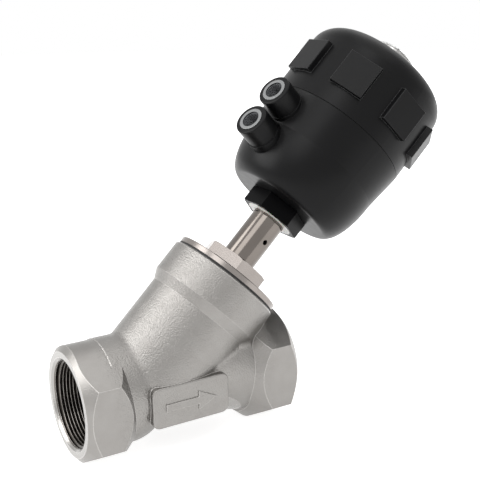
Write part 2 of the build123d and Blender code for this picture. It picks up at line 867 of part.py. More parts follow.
# Cap: the upper half of the actuator, with square pads round it and a domed top
with BuildPart() as actuator_cap:
    corner_centre_radius = actuator_radius - cap_corner_round
    crown_rise = cap_corner_drop - cap_corner_round
    crown_radius = (corner_centre_radius**2 + cap_corner_drop**2 - cap_corner_round**2) / (2 * crown_rise)
    crown_centre = crown_height - crown_radius
    crown_gap = Vector(corner_centre_radius, cap_corner_centre - crown_centre)
    crown_edge = crown_gap.normalized() * crown_radius + Vector(0, crown_centre)
    with BuildSketch(stem_side):
        with BuildLine():
            side_top = Vector(actuator_radius, cap_corner_centre)
            Polyline((0, cap_bottom), (actuator_radius, cap_bottom), side_top)
            TangentArc(side_top, crown_edge, tangent=(0, 1))
            TangentArc((0, crown_height), crown_edge, tangent=(1, 0))
            Line((0, crown_height), (0, cap_bottom))
        make_face()
    revolve(axis=stem_axis)
    with BuildSketch(across_stem(cap_corner_centre)):
        Circle(cap_boss_radius)
    extrude(amount=cap_corner_drop)
    with BuildSketch(across_stem(pad_bottom)):
        with PolarLocations(pad_reach, pad_count, pad_start_angle, pad_count * pad_pitch_angle):
            Rectangle(pad_root, pad_width, align=(Align.MAX, Align.CENTER))
    extrude(amount=pad_height)
    pad_faces = actuator_cap.faces().filter_by(GeomType.PLANE).filter_by(
        lambda face: abs(face.center().dot(face.normal_at()) - pad_reach) < 0.01
        and abs(face.normal_at().dot(stem_direction)) < 0.01
    )
    fillet(pad_faces.edges(), pad_edge)
    # Socket for the housing's neck, room for the springs and the eye for the indicator
    with BuildSketch(stem_side):
        with BuildLine():
            ceiling_round = cap_corner_round - cap_wall
            socket_radius = joint_neck_radius + cap_socket_clearance
            Polyline(
                (0, cap_bottom),
                (socket_radius, cap_bottom),
                (socket_radius, cap_socket_top),
                (cap_bore_radius, cap_socket_top),
                (cap_bore_radius, cap_ceiling - ceiling_round),
            )
            CenterArc(
                (cap_bore_radius - ceiling_round, cap_ceiling - ceiling_round), ceiling_round, 0, 90
            )
            Polyline(
                (cap_bore_radius - ceiling_round, cap_ceiling),
                (cap_eye_radius, cap_ceiling),
                (cap_eye_radius, crown_height),
                (0, crown_height),
                (0, cap_bottom),
            )
        make_face()
    revolve(axis=stem_axis, mode=Mode.SUBTRACT)
actuator_cap.part.label = "actuator_cap"
export_step(actuator_cap.part, "parts/actuator_cap.step")

# Piston, a dish that carries the springs, with a seal and a guide ring on its flange
seal_bottom = piston_flange_top - piston_seal_drop - piston_seal_height
guide_bottom = piston_flange_top - piston_guide_drop - piston_guide_height
with BuildPart() as piston:
    with BuildSketch(stem_side):
        with BuildLine():
            wall_inner_radius = piston_wall_outer_radius - piston_wall_thickness
            Polyline(
                (stud_hole_radius, piston_bottom),
                (piston_hub_radius, piston_bottom),
                (piston_hub_radius, piston_floor_station),
                (piston_wall_outer_radius - piston_floor_thickness, piston_floor_station),
                (piston_wall_outer_radius, piston_floor_top),
                (piston_wall_outer_radius, piston_flange_bottom),
                (piston_flange_radius, piston_flange_bottom),
                (piston_flange_radius, piston_flange_top),
                (wall_inner_radius, piston_flange_top),
                (wall_inner_radius, piston_floor_top),
                (piston_hub_radius, piston_floor_top),
                (piston_hub_radius, piston_hub_top),
                (stud_hole_radius, piston_hub_top),
                close=True,
            )
        make_face()
    revolve(axis=stem_axis)
    with BuildSketch(stem_side):
        with Locations((piston_flange_radius, seal_bottom)):
            Rectangle(piston_seal_depth, piston_seal_height, align=(Align.MAX, Align.MIN))
        with Locations((piston_flange_radius, guide_bottom)):
            Rectangle(piston_guide_depth, piston_guide_height, align=(Align.MAX, Align.MIN))
    revolve(axis=stem_axis, mode=Mode.SUBTRACT)
piston.part.label = "piston"
export_step(piston.part, "parts/piston.step")

with BuildPart() as piston_seal:
    with BuildSketch(stem_side):
        with BuildLine():
            seal_root = piston_flange_radius - piston_seal_depth + stud_clearance
            Polyline(
                (seal_root, seal_bottom + stud_clearance),
                (piston_flange_radius, seal_bottom + stud_clearance),
                (piston_flange_radius - piston_seal_depth / 2, seal_bottom + piston_seal_height / 2),
                (piston_flange_radius, seal_bottom + piston_seal_height - stud_clearance),
                (seal_root, seal_bottom + piston_seal_height - stud_clearance),
                close=True,
            )
        make_face()
    revolve(axis=stem_axis)
piston_seal.part.label = "piston_seal"
export_step(piston_seal.part, "parts/piston_seal.step")

with BuildPart() as piston_guide_ring:
    with BuildSketch(across_stem(guide_bottom + stud_clearance)):
        Circle(piston_flange_radius)
        Circle(piston_flange_radius - piston_guide_depth + stud_clearance, mode=Mode.SUBTRACT)
    extrude(amount=piston_guide_height - 2 * stud_clearance)
piston_guide_ring.part.label = "piston_guide_ring"
export_step(piston_guide_ring.part, "parts/piston_guide_ring.step")

with BuildPart() as piston_washer:
    with BuildSketch(across_stem(piston_hub_top)):
        Circle(piston_washer_radius)
        Circle(stud_hole_radius, mode=Mode.SUBTRACT)
    extrude(amount=piston_washer_thickness)
piston_washer.part.label = "piston_washer"
export_step(piston_washer.part, "parts/piston_washer.step")

with BuildPart() as piston_nut:
    with BuildSketch(across_stem(piston_washer_top)):
        RegularPolygon(piston_nut_across_flats / 2, 6, major_radius=False)
        Circle(stud_hole_radius, mode=Mode.SUBTRACT)
    extrude(amount=piston_nut_height)
piston_nut.part.label = "piston_nut"
export_step(piston_nut.part, "parts/piston_nut.step")

# Springs between the piston and the plate under the cap
outer_spring = coil_spring(
    piston_floor_top, spring_plate_bottom, outer_spring_radius, outer_spring_wire, outer_spring_turns
)
outer_spring.part.label = "outer_spring"
export_step(outer_spring.part, "parts/outer_spring.step")

inner_spring = coil_spring(
    piston_floor_top, spring_plate_bottom, inner_spring_radius, inner_spring_wire, inner_spring_turns
)
inner_spring.part.label = "inner_spring"
export_step(inner_spring.part, "parts/inner_spring.step")

with BuildPart() as spring_plate:
    with BuildSketch(across_stem(spring_plate_bottom)):
        Circle(min(spring_plate_radius, cap_bore_radius - ceiling_round))
        Circle(spring_plate_bore_radius, mode=Mode.SUBTRACT)
    extrude(amount=spring_plate_thickness)
spring_plate.part.label = "spring_plate"
export_step(spring_plate.part, "parts/spring_plate.step")

# Position indicator: a rod on the stem that rises under a clear window
with BuildPart() as indicator_rod:
    with BuildSketch(across_stem(stem_top - indicator_stud_depth)):
        Circle(indicator_stud_radius)
    extrude(amount=indicator_stud_depth)
    with BuildSketch(across_stem(stem_top)):
        Circle(indicator_rod_radius)
    extrude(amount=indicator_rod_top - stem_top)
indicator_rod.part.label = "indicator_rod"
export_step(indicator_rod.part, "parts/indicator_rod.step")

with BuildPart() as indicator_ring:
    with BuildSketch(stem_side):
        with BuildLine():
            Polyline(
                (indicator_bore_radius, crown_height - indicator_shank_depth),
                (cap_eye_radius, crown_height - indicator_shank_depth),
                (cap_eye_radius, crown_height),
                (indicator_ring_radius, crown_height),
                (indicator_ring_radius, indicator_ring_top),
                (indicator_window_radius, indicator_ring_top),
                (indicator_window_radius, indicator_ring_top - indicator_socket_depth),
                (indicator_bore_radius, indicator_ring_top - indicator_socket_depth),
                close=True,
            )
        make_face()
    revolve(axis=stem_axis)
    with BuildSketch(across_stem(crown_height)):
        Circle(indicator_o_ring_radius)
        Circle(indicator_o_ring_radius - indicator_o_ring_wire, mode=Mode.SUBTRACT)
    extrude(amount=indicator_o_ring_wire, mode=Mode.SUBTRACT)
indicator_ring.part.label = "indicator_ring"
export_step(indicator_ring.part, "parts/indicator_ring.step")

with BuildPart() as indicator_o_ring:
    with BuildSketch(stem_side):
        with Locations((indicator_o_ring_radius - indicator_o_ring_wire / 2, crown_height)):
            RectangleRounded(
                indicator_o_ring_wire,
                indicator_o_ring_wire,
                indicator_o_ring_wire / 3,
                align=(Align.CENTER, Align.MIN),
            )
    revolve(axis=stem_axis)
indicator_o_ring.part.label = "indicator_o_ring"
export_step(indicator_o_ring.part, "parts/indicator_o_ring.step")

with BuildPart() as indicator_window:
    window_bottom = indicator_ring_top - indicator_socket_depth
    window_shoulder = indicator_ring_top + indicator_window_side
    inner_radius = indicator_window_radius - indicator_window_wall
    with BuildSketch(stem_side):
        with BuildLine():
            window_ceiling = indicator_window_top - indicator_window_wall
            window_side_top = (indicator_window_radius, window_shoulder)
            TangentArc((0, indicator_window_top), window_side_top, tangent=(1, 0))
            Polyline(
                window_side_top,
                (indicator_window_radius, window_bottom),
                (inner_radius, window_bottom),
                (inner_radius, indicator_ring_top),
            )
            TangentArc((0, window_ceiling), (inner_radius, indicator_ring_top), tangent=(1, 0))
            Line((0, window_ceiling), (0, indicator_window_top))
        make_face()
    revolve(axis=stem_axis)
indicator_window.part.label = "indicator_window"
export_step(indicator_window.part, "parts/indicator_window.step")
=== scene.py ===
"""Looks of a pneumatic angle seat valve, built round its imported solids.

Blender works in metres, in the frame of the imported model: +X runs along the pipe from inlet to outlet,
+Z is up and -Y is the front. Sizes in the classes are in millimetres.
"""

import logging
import math
from collections.abc import Mapping, Sequence
from dataclasses import dataclass
from enum import Enum
from typing import Any

import bmesh
import bpy
from mathutils import Matrix, Vector


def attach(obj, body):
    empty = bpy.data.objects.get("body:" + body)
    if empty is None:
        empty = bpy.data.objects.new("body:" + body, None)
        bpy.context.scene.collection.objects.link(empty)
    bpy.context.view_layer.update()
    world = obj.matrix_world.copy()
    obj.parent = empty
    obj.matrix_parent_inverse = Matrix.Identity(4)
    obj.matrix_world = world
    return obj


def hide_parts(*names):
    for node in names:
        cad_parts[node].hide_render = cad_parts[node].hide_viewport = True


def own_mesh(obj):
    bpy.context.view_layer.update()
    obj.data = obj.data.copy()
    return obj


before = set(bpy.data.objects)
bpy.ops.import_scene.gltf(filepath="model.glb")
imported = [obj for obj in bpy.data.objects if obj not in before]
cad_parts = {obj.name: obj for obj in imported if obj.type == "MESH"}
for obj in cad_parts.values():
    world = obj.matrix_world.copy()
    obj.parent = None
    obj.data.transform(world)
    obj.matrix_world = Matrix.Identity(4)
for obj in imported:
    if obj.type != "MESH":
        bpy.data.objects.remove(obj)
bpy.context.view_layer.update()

MM = 0.001
# The stem leans from the pipe, and the air ports are turned about the stem from the front
STEM_LEAN = math.radians(44.5)
PORT_TURN = math.radians(-80.0)
STEM = Vector((math.cos(STEM_LEAN), 0.0, math.sin(STEM_LEAN)))
PIPE = Vector((1.0, 0.0, 0.0))
FRONT = Vector((0.0, -1.0, 0.0))
PORT = FRONT * math.cos(PORT_TURN) + STEM.cross(FRONT) * math.sin(PORT_TURN)
# How far along the stem's axis the two air ports stand, in millimetres
PORT_STATIONS = (177.5, 202.0)
# How well the rounded and the sharp normal agree where the painted edge highlight starts, and where it is
# full
EDGE_HIGHLIGHT_START = 0.995
EDGE_HIGHLIGHT_FULL = 0.9
BEVEL_SAMPLES = 4
WHITE = (1.0, 1.0, 1.0, 1.0)
log = logging.getLogger("valve")


def linear(colour: str) -> tuple[float, float, float, float]:
    """Turns an sRGB hex colour into the linear one that shaders take.

    Args:
        colour: the colour as six hex digits.

    Returns:
        Red, green, blue and an alpha of 1.
    """
    parts = [int(colour[i : i + 2], 16) / 255 for i in (0, 2, 4)]
    red, green, blue = (p / 12.92 if p <= 0.04045 else ((p + 0.055) / 1.055) ** 2.4 for p in parts)
    return red, green, blue, 1.0


def toward(azimuth: float, elevation: float) -> Vector:
    """Gives the way to a place in the studio.

    Args:
        azimuth: its angle in radians round from the front, towards the outlet's side.
        elevation: its angle in radians above the floor.

    Returns:
        The direction, of length 1.
    """
    return Vector(
        (
            math.sin(azimuth) * math.cos(elevation),
            -math.cos(azimuth) * math.cos(elevation),
            math.sin(elevation),
        )
    )


def add_node(
    tree: bpy.types.NodeTree,
    kind: str,
    settings: Mapping[str, Any] | None = None,
    sockets: Mapping[str | int, Any] | None = None,
) -> bpy.types.Node:
    """Adds a node to a tree with its settings, socket values and links.

    Args:
        tree: the tree that takes the node.
        kind: the node's type.
        settings: what is set on the node itself.
        sockets: what each input takes: a value, or the output that is linked to it.

    Returns:
        The new node.
    """
    node = tree.nodes.new(kind)
    for name, value in (settings or {}).items():
        setattr(node, name, value)
    for name, value in (sockets or {}).items():
        if isinstance(value, bpy.types.NodeSocket):
            tree.links.new(value, node.inputs[name])
        else:
            node.inputs[name].default_value = value
    return node


class Lay(Enum):
    """Which way the marks on a surface run."""

    EVEN = "the same every way, as blasting or moulding leaves them"
    ROUND_STEM = "in rings about the stem, as turning leaves them"
    ROUND_PIPE = "in rings about the pipe, as turning leaves them"
    ALONG_STEM = "along the stem, as drawing a tube leaves them"


@dataclass(frozen=True)
class Relief:
    """One layer of fine relief, by the real size of its grain and its height in millimetres."""

    size: float
    height: float
    lay: Lay = Lay.EVEN
    detail: float = 2.0


@dataclass(frozen=True)
class Hole:
    """A round hole, darkened with painted shade, by a point on its axis, its direction and its radius, in
    millimetres.
    """

    point: Vector
    direction: Vector
    radius: float

    def inside(self, tree: bpy.types.NodeTree) -> bpy.types.NodeSocket:
        """Finds the hole's wall.

        Args:
            tree: the material's tree.

        Returns:
            1 within the hole's radius, and 0 outside it.
        """
        place = add_node(tree, "ShaderNodeTexCoord").outputs["Object"]
        offset = add_node(
            tree, "ShaderNodeVectorMath", {"operation": "SUBTRACT"}, {0: place, 1: self.point * MM}
        ).outputs["Vector"]
        across = add_node(
            tree, "ShaderNodeVectorMath", {"operation": "CROSS_PRODUCT"}, {0: offset, 1: self.direction}
        ).outputs["Vector"]
        distance = add_node(tree, "ShaderNodeVectorMath", {"operation": "LENGTH"}, {0: across})
        sockets = {0: distance.outputs["Value"], 1: self.radius * MM}
        return add_node(tree, "ShaderNodeMath", {"operation": "LESS_THAN"}, sockets).outputs[0]


@dataclass(frozen=True)
class Finish:
    """A finish: the material's own values, its relief, its variation, its holes darkened with painted shade
    and its edges lightened with a painted highlight.

    Lengths are in millimetres. The painted edge highlight shows on the edges beyond the station edge_start.
    """

    name: str
    colour: str
    roughness: float
    metallic: float = 0.0
    reliefs: tuple[Relief, ...] = ()
    second_colour: str = ""
    mottle_size: float = 9.0
    gloss_variation: float = 0.0
    edge_radius: float = 0.0
    shader_values: tuple[tuple[str, float], ...] = ()
    holes: tuple[Hole, ...] = ()
    hole_shade_colour: str = ""
    edge_highlight_colour: str = ""
    edge_start: float = -1000.0

    def coordinates(self, tree: bpy.types.NodeTree, lay: Lay) -> bpy.types.NodeSocket:
        """Gives the coordinates that a pattern with this lay is drawn in.

        Args:
            tree: the material's tree.
            lay: which way the marks run.

        Returns:
            A vector output, in metres.
        """
        place = add_node(tree, "ShaderNodeTexCoord").outputs["Object"]
        if lay is Lay.EVEN:
            return place
        axis = PIPE if lay is Lay.ROUND_PIPE else STEM
        along = add_node(
            tree, "ShaderNodeVectorMath", {"operation": "DOT_PRODUCT"}, {0: place, 1: axis}
        ).outputs["Value"]
        foot = add_node(
            tree, "ShaderNodeVectorMath", {"operation": "SCALE"}, {0: axis, "Scale": along}
        ).outputs["Vector"]
        across = add_node(
            tree, "ShaderNodeVectorMath", {"operation": "SUBTRACT"}, {0: place, 1: foot}
        ).outputs["Vector"]
        if lay is Lay.ALONG_STEM:
            return across
        radius = add_node(
            tree, "ShaderNodeVectorMath", {"operation": "LENGTH"}, {0: across}
        ).outputs["Value"]
        return add_node(tree, "ShaderNodeCombineXYZ", None, {"X": along, "Y": radius}).outputs["Vector"]

    def noise(
        self, tree: bpy.types.NodeTree, size: float, lay: Lay = Lay.EVEN, detail: float = 2.0
    ) -> bpy.types.NodeSocket:
        """Adds noise of a real grain size.

        Args:
            tree: the material's tree.
            size: the grain's width in millimetres.
            lay: which way the marks run.
            detail: how many finer layers it has.

        Returns:
            The noise, from 0 to 1.
        """
        sockets = {"Vector": self.coordinates(tree, lay), "Scale": 1 / (size * MM), "Detail": detail}
        return add_node(tree, "ShaderNodeTexNoise", None, sockets).outputs["Fac"]

    def relief_strength(self, tree: bpy.types.NodeTree, relief: Relief) -> bpy.types.NodeSocket | float:
        """Says how strong a relief is over the surface; a plain finish has it all over."""
        return 1.0

    def normal(self, tree: bpy.types.NodeTree) -> bpy.types.NodeSocket | None:
        """Builds the softened edges and the layers of relief.

        Args:
            tree: the material's tree.

        Returns:
            The normal, or None where the finish has neither.
        """
        normal = None
        if self.edge_radius:
            sockets = {"Radius": self.edge_radius * MM}
            normal = add_node(tree, "ShaderNodeBevel", {"samples": BEVEL_SAMPLES}, sockets).outputs["Normal"]
        for relief in self.reliefs:
            sockets = {
                "Height": self.noise(tree, relief.size, relief.lay, relief.detail),
                "Distance": relief.height * MM,
                "Strength": self.relief_strength(tree, relief),
            }
            if normal is not None:
                sockets["Normal"] = normal
            normal = add_node(tree, "ShaderNodeBump", None, sockets).outputs["Normal"]
        return normal

    def base_colour(self, tree: bpy.types.NodeTree) -> bpy.types.NodeSocket | None:
        """Builds the slow drift between the finish's two colours.

        Args:
            tree: the material's tree.

        Returns:
            The colour, or None for a finish of one colour.
        """
        if not self.second_colour:
            return None
        sockets = {
            0: self.noise(tree, self.mottle_size, detail=3.0),
            6: linear(self.colour),
            7: linear(self.second_colour),
        }
        return add_node(tree, "ShaderNodeMix", {"data_type": "RGBA"}, sockets).outputs[2]

    def paint_hole_shade(
        self, tree: bpy.types.NodeTree, colour: bpy.types.NodeSocket | None
    ) -> bpy.types.NodeSocket | None:
        """Mixes the painted shade of the holes over a colour.

        Args:
            tree: the material's tree.
            colour: what the rest of the surface has, or None for the finish's plain colour.

        Returns:
            The colour with the holes' painted shade in it.
        """
        for hole in self.holes:
            sockets = {
                0: hole.inside(tree),
                6: colour if colour is not None else linear(self.colour),
                7: linear(self.hole_shade_colour),
            }
            colour = add_node(tree, "ShaderNodeMix", {"data_type": "RGBA"}, sockets).outputs[2]
        return colour

    def paint_edge_highlight(
        self, tree: bpy.types.NodeTree, colour: bpy.types.NodeSocket | None
    ) -> bpy.types.NodeSocket | None:
        """Mixes the painted highlight of the edges over a colour.

        Args:
            tree: the material's tree.
            colour: what the rest of the surface has, or None for the finish's plain colour.

        Returns:
            The colour with the edges' painted highlight in it.
        """
        if not self.edge_highlight_colour:
            return colour
        sockets = {"Radius": self.edge_radius * MM}
        soft = add_node(tree, "ShaderNodeBevel", {"samples": BEVEL_SAMPLES}, sockets).outputs["Normal"]
        sharp = add_node(tree, "ShaderNodeNewGeometry").outputs["Normal"]
        agreement = add_node(
            tree, "ShaderNodeVectorMath", {"operation": "DOT_PRODUCT"}, {0: soft, 1: sharp}
        ).outputs["Value"]
        sockets = {"Value": agreement, "From Min": EDGE_HIGHLIGHT_START, "From Max": EDGE_HIGHLIGHT_FULL}
        edge_highlight = add_node(tree, "ShaderNodeMapRange", None, sockets).outputs["Result"]
        place = add_node(tree, "ShaderNodeTexCoord").outputs["Object"]
        station = add_node(
            tree, "ShaderNodeVectorMath", {"operation": "DOT_PRODUCT"}, {0: place, 1: STEM}
        ).outputs["Value"]
        reached = add_node(
            tree, "ShaderNodeMath", {"operation": "GREATER_THAN"}, {0: station, 1: self.edge_start * MM}
        ).outputs[0]
        share = add_node(tree, "ShaderNodeMath", {"operation": "MULTIPLY"}, {0: edge_highlight, 1: reached})
        sockets = {
            0: share.outputs[0],
            6: colour if colour is not None else linear(self.colour),
            7: linear(self.edge_highlight_colour),
        }
        return add_node(tree, "ShaderNodeMix", {"data_type": "RGBA"}, sockets).outputs[2]

    def gloss(self, tree: bpy.types.NodeTree) -> bpy.types.NodeSocket | None:
        """Builds how the roughness varies.

        Args:
            tree: the material's tree.

        Returns:
            The roughness, or None where it is the same all over.
        """
        if not self.gloss_variation:
            return None
        sockets = {
            "Value": self.noise(tree, self.mottle_size / 2, detail=3.0),
            "To Min": self.roughness - self.gloss_variation,
            "To Max": self.roughness + self.gloss_variation,
        }
        return add_node(tree, "ShaderNodeMapRange", None, sockets).outputs["Result"]

    def material(self) -> bpy.types.Material:
        """Builds the material, or gives the one that was built before.

        Returns:
            The finish's material.
        """
        known = bpy.data.materials.get(self.name)
        if known is not None:
            return known
        made = bpy.data.materials.new(self.name)
        made.use_nodes = True
        tree = made.node_tree
        shader = tree.nodes["Principled BSDF"]
        shader.inputs["Base Color"].default_value = linear(self.colour)
        shader.inputs["Metallic"].default_value = self.metallic
        shader.inputs["Roughness"].default_value = self.roughness
        for name, value in self.shader_values:
            shader.inputs[name].default_value = value
        parts = {
            "Base Color": self.paint_edge_highlight(tree, self.paint_hole_shade(tree, self.base_colour(tree))),
            "Roughness": self.gloss(tree),
            "Normal": self.normal(tree),
        }
        for name, output in parts.items():
            if output is not None:
                tree.links.new(output, shader.inputs[name])
        return made


@dataclass(frozen=True)
class CastingFinish(Finish):
    """The body's blasted skin, which turns into cut metal in the bores and on the end rings.

    The grain calms over calm_blend millimetres at the hexagon ends, and keeps calm_share of its height.
    """

    cut_roughness: float = 0.24
    cut_colour: str = "9C9A97"
    bore_radius: float = 31.0
    inlet_face: float = -49.9
    outlet_face: float = 101.9
    calm_start: float = 31.0
    calm_blend: float = 6.0
    calm_share: float = 0.3

    def radius(self, tree: bpy.types.NodeTree) -> bpy.types.NodeSocket:
        """Gives the distance from the pipe's axis, in metres, for the material's tree."""
        vector = self.coordinates(tree, Lay.ROUND_PIPE)
        return add_node(tree, "ShaderNodeSeparateXYZ", None, {0: vector}).outputs["Y"]

    def cut(self, tree: bpy.types.NodeTree) -> bpy.types.NodeSocket:
        """Finds the metal that was cut.

        Args:
            tree: the material's tree.

        Returns:
            1 where the metal was cut, and 0 on the cast skin.
        """
        place = self.coordinates(tree, Lay.EVEN)
        along = add_node(tree, "ShaderNodeSeparateXYZ", None, {0: place}).outputs["X"]
        tests = (
            ("LESS_THAN", self.radius(tree), self.bore_radius * MM),
            ("LESS_THAN", along, self.inlet_face * MM),
            ("GREATER_THAN", along, self.outlet_face * MM),
        )
        total: bpy.types.NodeSocket | float = 0.0
        for operation, value, limit in tests:
            found = add_node(tree, "ShaderNodeMath", {"operation": operation}, {0: value, 1: limit})
            total = add_node(
                tree, "ShaderNodeMath", {"operation": "MAXIMUM"}, {0: total, 1: found.outputs[0]}
            ).outputs[0]
        return total

    def relief_strength(self, tree: bpy.types.NodeTree, relief: Relief) -> bpy.types.NodeSocket | float:
        """Calms the cast grain on the hexagon ends, and keeps the turning marks to the cut metal.

        Args:
            tree: the material's tree.
            relief: the layer of relief.

        Returns:
            The strength over the surface.
        """
        if relief.lay is not Lay.EVEN:
            return self.cut(tree)
        place = self.coordinates(tree, Lay.EVEN)
        along = add_node(tree, "ShaderNodeSeparateXYZ", None, {0: place}).outputs["X"]
        middle = (self.inlet_face + self.outlet_face) / 2 * MM
        offset = add_node(tree, "ShaderNodeMath", {"operation": "SUBTRACT"}, {0: along, 1: middle})
        distance = add_node(tree, "ShaderNodeMath", {"operation": "ABSOLUTE"}, {0: offset.outputs[0]})
        end = (self.outlet_face - self.inlet_face) / 2 - self.calm_start / 2
        sockets = {
            "Value": distance.outputs[0],
            "From Min": (end - self.calm_blend) * MM,
            "From Max": end * MM,
            "To Min": 1.0,
            "To Max": self.calm_share,
        }
        return add_node(tree, "ShaderNodeMapRange", None, sockets).outputs["Result"]

    def base_colour(self, tree: bpy.types.NodeTree) -> bpy.types.NodeSocket | None:
        """Mixes the cut metal's colour over the cast skin's.

        Args:
            tree: the material's tree.

        Returns:
            The colour over the body.
        """
        skin = super().base_colour(tree)
        sockets = {
            0: self.cut(tree),
            6: skin if skin is not None else linear(self.colour),
            7: linear(self.cut_colour),
        }
        return add_node(tree, "ShaderNodeMix", {"data_type": "RGBA"}, sockets).outputs[2]

    def gloss(self, tree: bpy.types.NodeTree) -> bpy.types.NodeSocket | None:
        """Mixes the cut metal's roughness over the cast skin's.

        Args:
            tree: the material's tree.

        Returns:
            The roughness over the body.
        """
        skin = super().gloss(tree)
        sockets = {
            0: self.cut(tree),
            2: skin if skin is not None else self.roughness,
            3: self.cut_roughness,
        }
        return add_node(tree, "ShaderNodeMix", None, sockets).outputs[0]


# Stainless steel 1.4408, investment cast and then bead blasted: a warm satin grey whose highlights
# break up into an orange peel grain. The real grain is 0.2 to 0.4 mm, drawn near 1 mm so that it shows.
# The colour of all the metal that is seen is written at the level that it has before a white backdrop.
CAST_STAINLESS = CastingFinish(
    name="blasted_cast_stainless",
    colour="918F8C",
    second_colour="888582",
    roughness=0.35,
    gloss_variation=0.04,
    metallic=1.0,
    edge_radius=0.6,
    reliefs=(
        Relief(size=7.0, height=0.16, detail=1.0),
        Relief(size=0.95, height=0.42),
        Relief(size=0.5, height=0.06, lay=Lay.ROUND_PIPE),
    ),
    holes=(Hole(point=Vector((0.0, 0.0, 0.0)), direction=PIPE, radius=28.9),),
    # The pipe bore is darkened with painted shade
    hole_shade_colour="5A5550",
    # The edges are lightened with a painted highlight
    edge_highlight_colour="CBC8C5",
)

# Stainless steel 1.4401, turned: bright rings about the stem, 0.1 mm apart and drawn at 0.5 mm
TURNED_STAINLESS = Finish(
    name="lathe_turned_stainless",
    colour="938D89",
    second_colour="87817D",
    roughness=0.24,
    gloss_variation=0.03,
    metallic=1.0,
    edge_radius=0.35,
    reliefs=(Relief(size=0.5, height=0.012, lay=Lay.ROUND_STEM),),
)

# Stainless tube, drawn and polished: a near mirror with faint lines along it, 0.1 mm apart and drawn
# at 0.7 mm
POLISHED_TUBE = Finish(
    name="polished_stainless_tube",
    colour="78726D",
    second_colour="6E6863",
    roughness=0.12,
    gloss_variation=0.03,
    metallic=1.0,
    edge_radius=0.3,
    reliefs=(Relief(size=0.7, height=0.01, lay=Lay.ALONG_STEM),),
)

# The thread's crests, lightened with a painted highlight
THREAD_CREST = Finish(
    name="painted_highlight_thread_crest",
    colour="BAB6B2",
    second_colour="AEAAA6",
    roughness=0.32,
    gloss_variation=0.05,
    metallic=1.0,
    reliefs=(Relief(size=0.4, height=0.01, lay=Lay.ROUND_PIPE),),
)

# The thread's cut flanks, darkened with painted shade in the grooves
THREAD_FLANK = Finish(
    name="painted_shade_thread_flank",
    colour="56524D",
    second_colour="47433E",
    roughness=0.28,
    gloss_variation=0.05,
    metallic=1.0,
    reliefs=(Relief(size=0.4, height=0.02, lay=Lay.ROUND_PIPE),),
)

# Polyamide 66 with glass fibre, moulded in a spark eroded tool: a satin black with a fine even grain.
# The grain is 0.1 mm and is drawn at 0.6 mm.
MOULDED_POLYAMIDE = Finish(
    name="moulded_black_polyamide",
    colour="0A0A0B",
    second_colour="0D0D0E",
    roughness=0.34,
    gloss_variation=0.04,
    edge_radius=0.5,
    # The edges of the cap and its pads are lightened with a painted highlight
    edge_highlight_colour="5A5A5B",
    edge_start=222.0,
    shader_values=(("Specular IOR Level", 0.15),),
    reliefs=(
        Relief(size=18.0, height=0.12, detail=1.0),
        Relief(size=0.6, height=0.008),
    ),
)

# Acetal, moulded with a polished tool: a deeper and smoother black than the actuator's
BLACK_ACETAL = Finish(
    name="moulded_black_acetal",
    colour="040405",
    second_colour="060607",
    roughness=0.34,
    gloss_variation=0.03,
    edge_radius=0.4,
    shader_values=(("Specular IOR Level", 0.05),),
    reliefs=(Relief(size=0.8, height=0.006),),
)

# Acetal in its natural white, moulded: soft edged and slightly milky
WHITE_ACETAL = Finish(
    name="moulded_white_acetal",
    colour="E9E8E4",
    second_colour="E2E1DC",
    roughness=0.38,
    gloss_variation=0.03,
    reliefs=(Relief(size=0.8, height=0.006),),
    shader_values=(("Subsurface Weight", 0.1), ("Subsurface Scale", 0.002)),
)

# Brass, turned and nickel plated: a cool grey with ring marks
NICKELLED_BRASS = Finish(
    name="nickel_plated_brass",
    colour="9C9D9D",
    second_colour="929394",
    roughness=0.25,
    gloss_variation=0.04,
    metallic=1.0,
    edge_radius=0.35,
    reliefs=(Relief(size=0.5, height=0.006),),
    holes=tuple(Hole(point=STEM * station, direction=PORT, radius=5.9) for station in PORT_STATIONS),
    # The holes of the air ports are darkened with painted shade
    hole_shade_colour="58595B",
)

# Brass, turned and chrome plated: nearly a mirror
CHROMED_BRASS = Finish(
    name="chrome_plated_brass",
    colour="B0AFAE",
    second_colour="A5A3A1",
    roughness=0.12,
    gloss_variation=0.03,
    metallic=1.0,
    edge_radius=0.25,
    reliefs=(Relief(size=0.5, height=0.006, lay=Lay.ROUND_STEM),),
)

# Polycarbonate, moulded clear: glossy, and dark where it shows the hollow below
CLEAR_POLYCARBONATE = Finish(
    name="clear_polycarbonate",
    colour="F4F5F4",
    roughness=0.04,
    gloss_variation=0.015,
    reliefs=(Relief(size=6.0, height=0.01),),
    shader_values=(("Transmission Weight", 1.0), ("IOR", 1.58)),
)

# Acetal dyed through, for the position indicator
RED_ACETAL = Finish(
    name="moulded_red_acetal",
    colour="B3221C",
    second_colour="A81D18",
    roughness=0.36,
    gloss_variation=0.03,
    reliefs=(Relief(size=0.8, height=0.006),),
)

# Aluminium, die cast and turned
CAST_ALUMINIUM = Finish(
    name="die_cast_aluminium",
    colour="BFC0C2",
    second_colour="B3B4B6",
    roughness=0.4,
    gloss_variation=0.05,
    metallic=1.0,
    edge_radius=0.3,
    reliefs=(Relief(size=0.7, height=0.01, lay=Lay.ROUND_STEM),),
)

# Steel, zinc plated and passivated: pale, with a faint blue
ZINC_STEEL = Finish(
    name="zinc_plated_steel",
    colour="BCC2C8",
    second_colour="C8C8BE",
    roughness=0.3,
    gloss_variation=0.05,
    metallic=1.0,
    edge_radius=0.25,
    reliefs=(Relief(size=0.6, height=0.008),),
)

# Spring steel wire, drawn and phosphated: dark and lightly oiled
SPRING_STEEL = Finish(
    name="phosphated_spring_steel",
    colour="4A4A4B",
    second_colour="57534F",
    roughness=0.36,
    gloss_variation=0.06,
    metallic=1.0,
    reliefs=(Relief(size=0.5, height=0.01),),
)

